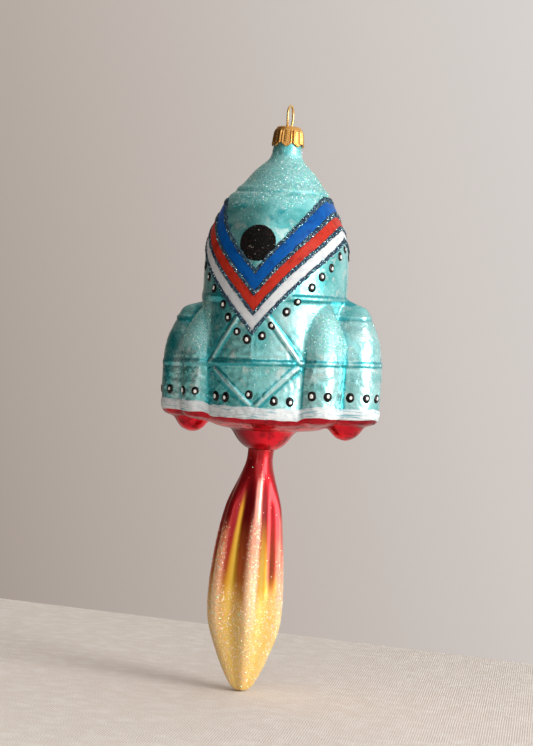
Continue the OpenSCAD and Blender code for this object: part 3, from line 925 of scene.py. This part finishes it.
FLAME_COLUMNS = 288
FLAME_STEP = 0.42
FLAME_TURNS = np.arange(FLAME_COLUMNS) * 360 / FLAME_COLUMNS - 180


def level_point(turn, z, r):
    """A point round the flame's own middle, which bows to the left."""
    part = (MOUTH_Z - z) / (MOUTH_Z - FLAME_TIP)
    middle = -FLAME_BOW * np.sin(math.pi * part)
    return around(turn, z, r, middle)


def flame_skin():
    tree = cad_tree("flame_shell")
    z = np.arange(MOUTH_Z - 0.03, FLAME_TIP + 0.25, -FLAME_STEP)
    r = cast_rows(tree, z, FLAME_TURNS, level_point)
    fluted = 0.5 - 0.5 * np.cos(np.radians((FLAME_TURNS - RIDGE_TURN) * FLUTES))
    r *= 1 - FLUTE_DEEPER * fluted * (ramp(z, -122, -136) * ramp(z, -194, -178))[:, None]
    skin = np.stack([level_point(FLAME_TURNS, np.full(FLAME_COLUMNS, h), q) for h, q in zip(z, r)])
    keep = ramp(np.arange(len(z)), 0, 5) * ramp(np.arange(len(z))[::-1], 0, 3)
    return z, relax(skin, keep, 10)


def flame_paint(z, points):
    """The lacquer's colour, painted light included, and where glitter is glued. From each ridge to the
    right the colours
    run: coral ridge, yellow, then brown-orange on the far side of the flute, a painted reflection. A
    painted highlight lies on the upper ridges, and painted dark reflection in the upper flutes."""
    turn = FLAME_TURNS[None, :] + 0 * z[:, None]
    depth = z[:, None] + 0 * turn
    phase = (turn - RIDGE_TURN) * FLUTES % 360
    to_ridge = np.minimum(phase, 360 - phase)
    drift = soft_noise(points, 6, 41)
    grain = soft_noise(points * np.array([1, 1, 0.25]), 1.4, 43)
    depth = depth + 3 * drift
    tip = ramp(depth, -166, -184)

    low = depth + 2 * grain
    late = low + 4 * ramp(turn, -2, -10) + 11 * ramp(turn, 56, 66)
    right = ramp(turn, 10, 20)
    flute_reflection = bump(phase, 232, 52) * ramp(depth, -138, -152) * ramp(depth, -168, -156)
    painted_ridge_highlight = ramp(turn, -14, -4) * (1 - 0.5 * ramp(turn, 50, 60))
    beside = np.abs((phase + 168) % 360 - 180)
    glow = ramp(to_ridge, 75, 25) * ramp(late, -134, -146) * 0.85
    spread = 30 + 26 * ramp(depth, -136, -166) + 10 * right
    start = np.where(np.abs(turn - RIDGE_TURN - 30) < 30, -10, 0)
    centre = 152 - 28 * right
    yellow = np.exp(-((phase - centre) / spread) ** 4) * ramp(depth - start, -129, -138)
    core_line = np.exp(-((phase - centre + 4) / (spread * 0.6)) ** 2)
    layers = [
        ("d41424", ramp(turn, -20, -50) * ramp(turn, -150, -110)),
        # Painted dark reflection in the upper flutes.
        ("7e0a12", 0.3 * ramp(to_ridge, 60, 130) * ramp(depth, -126, -134)),
        ("d0702a", ramp(low, -142, -174) * 0.85),
        # The far side of each flute: painted reflection, lighter orange on the left and dark brown on the
        # right.
        ("ee7838", flute_reflection * (1 - right) * 0.9),
        ("7a2c10", flute_reflection * right * 0.9),
        # Painted highlight on the centre and right ridges near the top.
        ("ffa696", ramp(beside, 66, 24) * ramp(late, -124, -131) * painted_ridge_highlight),
        ("ee7c68", glow),
        ("fa9050", glow * ramp(turn, -14, -24) * 0.8),
        ("fbcf98", ramp(to_ridge, 90, 25) * ramp(late, -144, -166) * 0.9),
        ("e4b43a", ramp(depth, -156, -170) * ramp(to_ridge, 40, 90) * 0.75),
        ("e8a41c", yellow * 0.95),
        ("f8de60", core_line * ramp(depth - start, -134, -150) * (0.45 + 0.4 * right)),
        ("f0c658", 0.75 * tip)]
    tint = np.zeros(turn.shape + (4,)) + np.array(srgb("aa0c18"))
    for code, share in layers:
        share = np.clip(share, 0, 1)[..., None]
        tint = tint * (1 - share) + np.array(srgb(code)) * share
    glued = ramp(to_ridge, 95, 30) * ramp(late + drift, -134, -148) * 0.95
    glued = np.maximum(glued, ramp(depth + 2 * drift, -160, -172) * (0.75 + 0.25 * ramp(to_ridge, 150, 60)))
    return tint, np.clip(glued + 0.15 * grain * (glued > 0.1), 0, 1)


def flame():
    z, skin_f = flame_skin()
    tint, glued = flame_paint(z, skin_f)
    normals = grid_normals(skin_f)
    inner_rows = skin_f[:-12:6] - WALL * normals[:-12:6]
    tip = np.array([[skin_f[-1, :, 0].mean(), skin_f[-1, :, 1].mean(), FLAME_TIP]])
    roof = inner_rows[-1].mean(axis=0, keepdims=True)
    grid = np.concatenate([skin_f, inner_rows[::-1]])
    outer = len(skin_f)
    faces = grid_faces(len(grid), FLAME_COLUMNS, wrap_rows=True).tolist()
    ring, end = outer * FLAME_COLUMNS, len(grid) * FLAME_COLUMNS
    del faces[ring - FLAME_COLUMNS:ring]
    faces += fan(end, ring - FLAME_COLUMNS, FLAME_COLUMNS, flip=True) + fan(end + 1, ring, FLAME_COLUMNS)
    points = np.concatenate([grid.reshape(-1, 3), tip, roof])
    inner_tint = np.repeat(tint[:1, :1], len(inner_rows) * FLAME_COLUMNS, axis=1)[0]
    colours = np.concatenate([tint.reshape(-1, 4), inner_tint, tint[-1, :1], tint[0, :1]])
    glue = np.concatenate([glued.ravel(), np.zeros(len(inner_rows) * FLAME_COLUMNS), [glued[-1, 0], 0]])
    make_piece("flame_glass", points, faces, FLAME, "glass_body", "flame_glass", ["flame_shell"],
               tint=colours, frost=glue)
    flame_glitter(skin_f, normals, glued, z)


def flame_glitter(points, normals, glued, z):
    """Warm iridescent glitter on the ridges and the tip."""
    reach = np.linalg.norm(points[..., :2], axis=-1) / FLAME_REACH
    rows, columns = scattered(glued ** 1.3 * reach + 0.004, len(z) - 2, FLAME_FLAKES, 25)
    place, normal = sample(points, rows, columns), unit(sample(normals, rows, columns))
    tints = pick_tints(["fffaf0", "ffe2d4", "fff0b8", "a8ffc8", "ffb7d0", "f7d08a"],
                       [6, 3, 4, 2.4, 2, 2], len(rows), 26)
    flake_mesh("flame_flakes", place + 0.04 * normal, normal, 0.2, tints, BRIGHT_FOIL, "flame_glass",
               27, tilt=0.9)


# ---- the gold cap and its wire ----

CAP_PROFILE = [(0.0, -6.65), (2.6, -6.65), (3.4, -6.68), (4.05, -7.1), (4.6, -7.9), (4.95, -9.25),
               (5.15, -11.25), (5.33, -13.75)]
CAP_SHEET = 0.26
CAP_PETALS = 8
CAP_TURN = 9.7
CAP_NOTCH = 1.5
PETAL_TOP = -8.2                 # the petals stretch below this height
HOLE_R = 0.62
WIRE_R = 0.4
LOOP_R = 3.2
HOLE_Y = 2.4
LEG_END = -24.0


def cap_outline(rows):
    """Points along the cap's profile at even distances."""
    p = np.array(CAP_PROFILE)
    run = np.concatenate([[0], np.cumsum(np.linalg.norm(np.diff(p, axis=0), axis=1))])
    at = np.linspace(0, run[-1], rows)
    return np.stack([np.interp(at, run, p[:, 0]), np.interp(at, run, p[:, 1])], axis=-1)


def crown_cap():
    """Stamped petals with raised rims, a beaded rib down each, and pointed ends."""
    columns, rows = CAP_PETALS * 30, 64
    turn = np.arange(columns) * 360 / columns - 180
    q = ((turn - CAP_TURN) / (360 / CAP_PETALS) + 0.5) % 1 * 2 - 1
    outline = cap_outline(rows)
    r = outline[:, 0][:, None] + 0 * q
    z = outline[:, 1][:, None] + 0 * q
    skirt = ramp(z, -7.6, -8.6)
    shorten = CAP_NOTCH * np.abs(q) ** 1.15
    share = np.clip((PETAL_TOP - z) / (PETAL_TOP - CAP_PROFILE[-1][1]), 0, 1)
    z = z + share * shorten
    to_end = z - (CAP_PROFILE[-1][1] + shorten)
    width = np.abs(q) * r * math.pi / CAP_PETALS
    beads = (0.5 + 0.5 * np.cos(z * 2 * math.pi / 0.85)) * bump(width, 0, 0.36)
    rim = np.maximum(bump(np.abs(q), 0.74, 0.13), bump(to_end, 0.45, 0.22) * ramp(np.abs(q), 0.9, 0.7))
    groove = ramp(np.abs(q), 0.86, 0.98)
    top_bead = 0.1 * bump(z, -7.0, 0.2)
    lift = skirt * (0.24 * rim + 0.24 * beads * ramp(to_end, 0.5, 1.2) - 0.26 * groove
                    + 0.06 * bump(width, 0.62, 0.12)) + top_bead
    r = r + lift
    outer = around(turn, z, r)
    inner_r = np.maximum(outline[:, 0][:, None] - CAP_SHEET + 0.4 * (lift - top_bead), 0.0)
    inner_z = np.minimum(z, CAP_PROFILE[0][1] - CAP_SHEET)
    inner = around(turn, inner_z, inner_r)
    outer, inner = outer[1:], inner[1:]
    grid = np.concatenate([outer, inner[::-1]])
    faces = grid_faces(len(grid), columns).tolist()
    end = len(grid) * columns
    faces += fan(end, 0, columns) + fan(end + 1, end - columns, columns, flip=True)
    apex = np.array([[0, 0, CAP_PROFILE[0][1]], [0, 0, CAP_PROFILE[0][1] - CAP_SHEET]])
    points = np.concatenate([grid.reshape(-1, 3), apex])
    recess = np.clip(skirt * (0.9 * groove + 0.55 * (1 - rim) * (1 - bump(width, 0, 0.4))), 0, 1)[1:]
    paint = np.concatenate([recess.ravel(), np.full(inner.shape[0] * columns, 0.6), [0, 0.6]])
    cap = make_piece("crown_cap", points, faces, CAP_GOLD, "cap_body", "gold_cap", ["hanger_cap"],
                     recess=paint)
    drill(cap)


def drill(cap):
    """Two holes in the cap's top for the wire."""
    for s in (-1, 1):
        bpy.ops.mesh.primitive_cylinder_add(vertices=32, radius=HOLE_R * MM, depth=3 * MM,
                                            location=(0, s * HOLE_Y * MM, CAP_PROFILE[0][1] * MM))
        cutter = bpy.context.object
        cut = cap.modifiers.new("hole", "BOOLEAN")
        cut.object, cut.operation, cut.solver = cutter, "DIFFERENCE", "EXACT"
        bpy.context.view_layer.update()
        mesh = bpy.data.meshes.new_from_object(cap.evaluated_get(bpy.context.evaluated_depsgraph_get()))
        cap.modifiers.clear()
        cap.data = mesh
        bpy.data.objects.remove(cutter)


def wire_line():
    """The wire's middle line, from one leg's end over the loop to the other's."""
    arc = [(LOOP_R * math.cos(a), WIRE_R - LOOP_R + LOOP_R * math.sin(a))
           for a in np.radians(np.arange(90, -1, -11.25))]
    leg = [(LOOP_R - 0.1, -4.6), (HOLE_Y + 0.3, -5.9), (HOLE_Y, -6.8), (HOLE_Y, -8),
           (HOLE_Y + 0.1, -12), (HOLE_Y + 0.2, -18), (HOLE_Y + 0.3, LEG_END)]
    half = arc + leg
    return [(-y, z) for y, z in half[:0:-1]] + half


def smooth_line(points, steps):
    """A line that passes smoothly through the points."""
    p = np.array(points, float)
    out = []
    for i in range(len(p) - 1):
        a, b, c, d = p[max(i - 1, 0)], p[i], p[i + 1], p[min(i + 2, len(p) - 1)]
        for k in range(steps):
            t = k / steps
            out.append(0.5 * (2 * b + (c - a) * t + (2 * a - 5 * b + 4 * c - d) * t * t
                              + (3 * b - a - 3 * c + d) * t ** 3))
    out.append(p[-1])
    return np.array(out)


def wire_hanger():
    line = smooth_line(wire_line(), 5)
    sides = 20
    ahead = unit(np.gradient(line, axis=0))
    across = np.stack([-ahead[:, 1], ahead[:, 0]], axis=-1)
    angle = np.arange(sides) * 2 * math.pi / sides
    bend = 0.05 * np.sin(line[:, 1] * 1.1)
    ring = WIRE_R * np.cos(angle)[None, :]
    points = np.stack([WIRE_R * np.sin(angle)[None, :] + bend[:, None],
                       line[:, :1] + ring * across[:, :1], line[:, 1:] + ring * across[:, 1:]], axis=-1)
    faces = [f[::-1] for f in grid_faces(len(line), sides).tolist()]
    last = (len(line) - 1) * sides
    faces += [list(range(sides)), [last + j for j in range(sides)][::-1]]
    make_piece("wire_hanger", points, faces, WIRE_GOLD, "hanger_body", "gold_wire", ["hanger_wire"],
               recess=np.zeros(len(points) * sides))


# ---- the stage: floor, light and camera ----

VIEW_TURN = 16.5                 # the camera stands this far round to the right
CAMERA_DISTANCE = 0.87
CAMERA_RISE = 0.0188
AIM = (-0.0005, -0.0001, -0.0906)
ROLL = 5.0
SENSOR = 36.0
LENS = 123.5
FLOOR_SIDE = 0.9
FLOOR_FRONT = -1.2
FLOOR_BACK = 0.168               # the cloth's far edge, where the wall begins
THREAD = 3.6


def linen_floor():
    n = Nodes("linen")
    turned = n.node("Mapping", "Vector", {"Vector": n.place, "Rotation": (0, 0, math.radians(35))})
    wave = {"Vector": turned, "Scale": 1 / (THREAD * MM), "Distortion": 1.6, "Detail": 2.0,
            "Detail Scale": 1.5}
    weave = n.times(*[n.node("TexWave", "Fac", wave, bands_direction=d) for d in ("X", "Y")])
    slub = n.noise(6, 4, 0.7)
    colour = n.mix(n.between(weave, 0.0, 0.5, 0.9, 0), "fffaf5", "d0c2b6")
    colour = n.mix(n.between(slub, 0.42, 0.7, 0, 0.45), colour, "fbf8f5")
    n.set(Base_Color=colour, Roughness=0.95)
    n.rough(n.plus(weave, n.times(slub, 0.6)), 0.5, 0.9)
    z = FLAME_TIP * MM - 0.0001
    corners = [(-FLOOR_SIDE, FLOOR_FRONT, z), (FLOOR_SIDE, FLOOR_FRONT, z),
               (FLOOR_SIDE, FLOOR_BACK, z), (-FLOOR_SIDE, FLOOR_BACK, z)]
    mesh = bpy.data.meshes.new("floor")
    mesh.from_pydata(corners, [], [(0, 1, 2, 3)])
    mesh.materials.append(n.material)
    floor = add_object("floor", mesh)


def world():
    """A pale wall, brighter towards the window on the right of the picture."""
    made = bpy.data.worlds.new("room")
    made.use_nodes = True
    tree = made.node_tree
    turn = math.radians(VIEW_TURN)
    place = tree.nodes.new("ShaderNodeTexCoord")
    dot = tree.nodes.new("ShaderNodeVectorMath")
    dot.operation = "DOT_PRODUCT"
    dot.inputs[1].default_value = (math.cos(turn), math.sin(turn), 0.35)
    tree.links.new(place.outputs["Generated"], dot.inputs[0])
    shade = tree.nodes.new("ShaderNodeValToRGB")
    shade.color_ramp.interpolation = "B_SPLINE"
    stops = shade.color_ramp.elements
    stops[0].position, stops[0].color = 0.0, srgb("3e3833")
    stops[1].position, stops[1].color = 1.0, srgb("f4f0ea")
    for position, code in ((0.3, "5e564f"), (0.43, "aa9d94"), (0.5, "c4bab3"), (0.57, "d9d4d1"),
                           (0.75, "e9e5e1")):
        stop = stops.new(position)
        stop.color = srgb(code)
    lift = tree.nodes.new("ShaderNodeMapRange")
    lift.inputs["From Min"].default_value = -1
    tree.links.new(dot.outputs["Value"], lift.inputs["Value"])
    tree.links.new(lift.outputs["Result"], shade.inputs["Fac"])
    tree.links.new(shade.outputs["Color"], tree.nodes["Background"].inputs["Color"])
    bpy.context.scene.world = made


def area_light(name, place, target, size, power, colour):
    data = bpy.data.lights.new(name, "AREA")
    data.shape = "RECTANGLE"
    data.size, data.size_y = size
    data.energy = power
    data.color = colour
    lamp = add_object(name, data)
    lamp.location = place
    lamp.rotation_euler = (Vector(target) - Vector(place)).to_track_quat("-Z", "Y").to_euler()


def studio():
    world()
    middle = (0, 0, -0.09)
    area_light("window", (0.85, -0.28, 0.12), middle, (0.5, 0.75), 8.6, (1.0, 0.985, 0.965))
    area_light("fill", (0.25, -1.15, 0.5), middle, (1.1, 1.1), 2.4, (1.0, 0.985, 0.97))
    area_light("glow", (-0.14, -1.05, -0.04), middle, (0.1, 0.55), 0.3, (1.0, 0.985, 0.97))
    turn = math.radians(VIEW_TURN)
    data = bpy.data.cameras.new("camera")
    data.sensor_width = SENSOR
    data.lens = LENS
    camera = add_object("camera", data)
    aim = Vector(AIM)
    camera.location = aim + Vector((CAMERA_DISTANCE * math.sin(turn), -CAMERA_DISTANCE * math.cos(turn),
                                    CAMERA_RISE))
    look = aim - camera.location
    camera.rotation_mode = "QUATERNION"
    camera.rotation_quaternion = look.to_track_quat("-Z", "Y") @ Quaternion((0, 0, 1), math.radians(ROLL))
    bpy.context.scene.camera = camera
    bpy.context.scene.view_settings.view_transform = "Standard"


glass_shell()
engine_coat()
hem_coat()
stripe_coats()
glitter_lines()
draper = Draper()
rivets(draper)
portholes(draper)
body_glitter()
flame()
crown_cap()
wire_hanger()
linen_floor()
studio()
